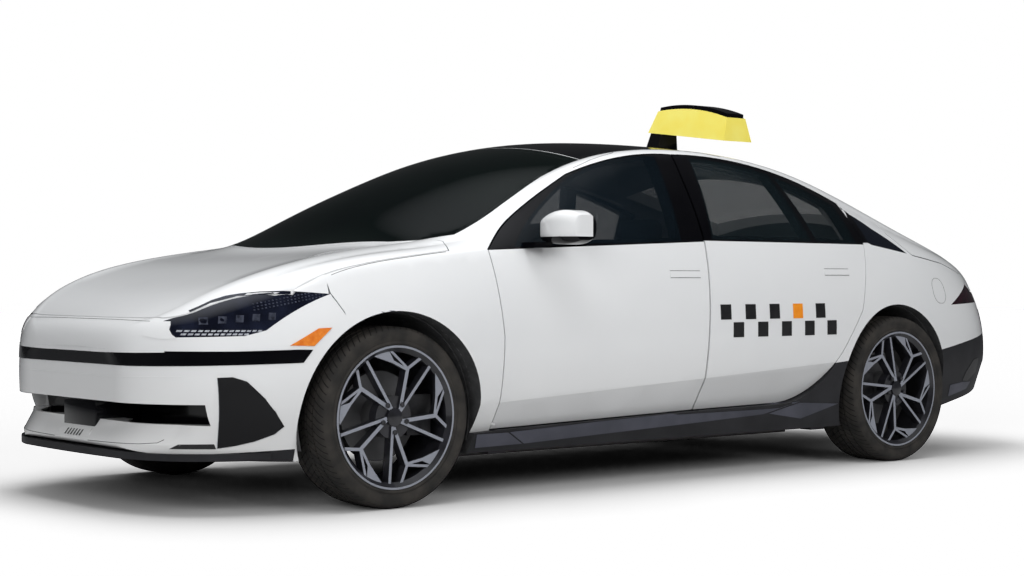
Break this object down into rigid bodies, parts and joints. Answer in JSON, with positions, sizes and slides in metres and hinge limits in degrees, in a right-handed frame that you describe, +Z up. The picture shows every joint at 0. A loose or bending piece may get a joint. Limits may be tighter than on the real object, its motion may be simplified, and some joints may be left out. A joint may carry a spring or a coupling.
{
  "type": "taxi cab",
  "caption": "Low streamlined electric saloon fitted out as a taxi cab, with a blank yellow roof sign, opening doors, hood and trunk lid, steered front wheels and turning wheels.",
  "frame": {"origin": "on the road, in the middle of the car's length and width", "axes": "+X towards the nose, +Y to the driver's left, +Z up"},
  "size_m": [4.866, 2.176, 1.7409],
  "materials": {
    "white_paint": "gloss pearl white paint",
    "black_gloss": "gloss black",
    "dark_cladding": "satin dark grey plastic",
    "clear_glass": "dark tinted glass",
    "lamp_lens": "smoked lamp lens",
    "tail_red": "dark red lamp lens",
    "tyre_rubber": "matt black rubber",
    "rim_alloy": "black paint with machined faces",
    "disc_steel": "turned iron",
    "chassis_steel": "black painted steel",
    "body_steel": "gloss pearl white paint",
    "under_plastic": "matt black liner",
    "cabin_plastic": "dark grained trim",
    "seat_cloth": "dark seat cover",
    "sign_yellow": "translucent yellow"
  },
  "bodies": {
    "body": {"body_frame": "body_steel", "front_fenders": "white_paint", "front_bumper": "white_paint", "rear_bumper": "white_paint", "bumper_trim": "black_gloss", "headlamps": "lamp_lens", "tail_lamps": "tail_red", "lower_cladding": "dark_cladding", "windshield": "clear_glass", "roof_panel": "black_gloss", "rear_window": "clear_glass", "quarter_windows": "clear_glass", "firewall": "chassis_steel", "dashboard": "cabin_plastic", "front_bay_cover": "under_plastic", "luggage_floor": "cabin_plastic", "front_seats": "seat_cloth", "rear_seat": "seat_cloth", "steering_wheel": "cabin_plastic", "rear_knuckles": "chassis_steel", "subframes": "chassis_steel", "drive_units": "disc_steel", "wheel_liners": "under_plastic", "battery_pack": "chassis_steel", "roof_sign": "sign_yellow", "roof_sign_cap": "black_gloss", "roof_sign_foot": "black_gloss"},
    "hood": {"hood": "white_paint"},
    "trunk_lid": {"trunk_lid": "white_paint"},
    "door_front_left": {"door_front_left": "white_paint", "door_glass_front_left": "clear_glass", "mirror_left": "white_paint"},
    "door_rear_left": {"door_rear_left": "white_paint", "door_glass_rear_left": "clear_glass"},
    "door_front_right": {"door_front_right": "white_paint", "door_glass_front_right": "clear_glass", "mirror_right": "white_paint"},
    "door_rear_right": {"door_rear_right": "white_paint", "door_glass_rear_right": "clear_glass"},
    "steering_knuckle_left": {"front_knuckle_left": "chassis_steel"},
    "wheel_front_left": {"rim_front_left": "rim_alloy", "tyre_front_left": "tyre_rubber", "brake_disc_front_left": "disc_steel"},
    "wheel_rear_left": {"rim_rear_left": "rim_alloy", "tyre_rear_left": "tyre_rubber", "brake_disc_rear_left": "disc_steel"},
    "steering_knuckle_right": {"front_knuckle_right": "chassis_steel"},
    "wheel_front_right": {"rim_front_right": "rim_alloy", "tyre_front_right": "tyre_rubber", "brake_disc_front_right": "disc_steel"},
    "wheel_rear_right": {"rim_rear_right": "rim_alloy", "tyre_rear_right": "tyre_rubber", "brake_disc_rear_right": "disc_steel"}
  },
  "joints": [
    {"name": "door_front_left_hinge", "type": "hinge", "parent": "body", "child": "door_front_left", "pos_m": [1.077, 0.948, 0.65], "axis": [0, 0, -1], "range_deg": [0, 66]},
    {"name": "door_rear_left_hinge", "type": "hinge", "parent": "body", "child": "door_rear_left", "pos_m": [-0.075, 0.953, 0.65], "axis": [0, 0, -1], "range_deg": [0, 70]},
    {"name": "door_front_right_hinge", "type": "hinge", "parent": "body", "child": "door_front_right", "pos_m": [1.077, -0.948, 0.65], "axis": [0, 0, 1], "range_deg": [0, 66]},
    {"name": "door_rear_right_hinge", "type": "hinge", "parent": "body", "child": "door_rear_right", "pos_m": [-0.075, -0.953, 0.65], "axis": [0, 0, 1], "range_deg": [0, 70]},
    {"name": "steering_left", "type": "hinge", "parent": "body", "child": "steering_knuckle_left", "pos_m": [1.5475, 0.74, 0.345], "axis": [0, 0, 1], "range_deg": [-35, 35]},
    {"name": "wheel_front_left_spin", "type": "hinge", "parent": "steering_knuckle_left", "child": "wheel_front_left", "pos_m": [1.5475, 0.802, 0.345], "axis": [0, 1, 0], "continuous": true},
    {"name": "wheel_rear_left_spin", "type": "hinge", "parent": "body", "child": "wheel_rear_left", "pos_m": [-1.4025, 0.802, 0.345], "axis": [0, 1, 0], "continuous": true},
    {"name": "steering_right", "type": "hinge", "parent": "body", "child": "steering_knuckle_right", "pos_m": [1.5475, -0.74, 0.345], "axis": [0, 0, 1], "range_deg": [-35, 35]},
    {"name": "wheel_front_right_spin", "type": "hinge", "parent": "steering_knuckle_right", "child": "wheel_front_right", "pos_m": [1.5475, -0.802, 0.345], "axis": [0, 1, 0], "continuous": true},
    {"name": "wheel_rear_right_spin", "type": "hinge", "parent": "body", "child": "wheel_rear_right", "pos_m": [-1.4025, -0.802, 0.345], "axis": [0, 1, 0], "continuous": true},
    {"name": "hood_hinge", "type": "hinge", "parent": "body", "child": "hood", "pos_m": [1.2205, 0, 1.03], "axis": [0, -1, 0], "range_deg": [0, 48]},
    {"name": "trunk_hinge", "type": "hinge", "parent": "body", "child": "trunk_lid", "pos_m": [-1.4875, 0, 1.3], "axis": [0, 1, 0], "range_deg": [0, 75]}
  ],
  "couplings": [
    {"joint": "steering_right", "follows": "steering_left", "ratio": 1}
  ]
}
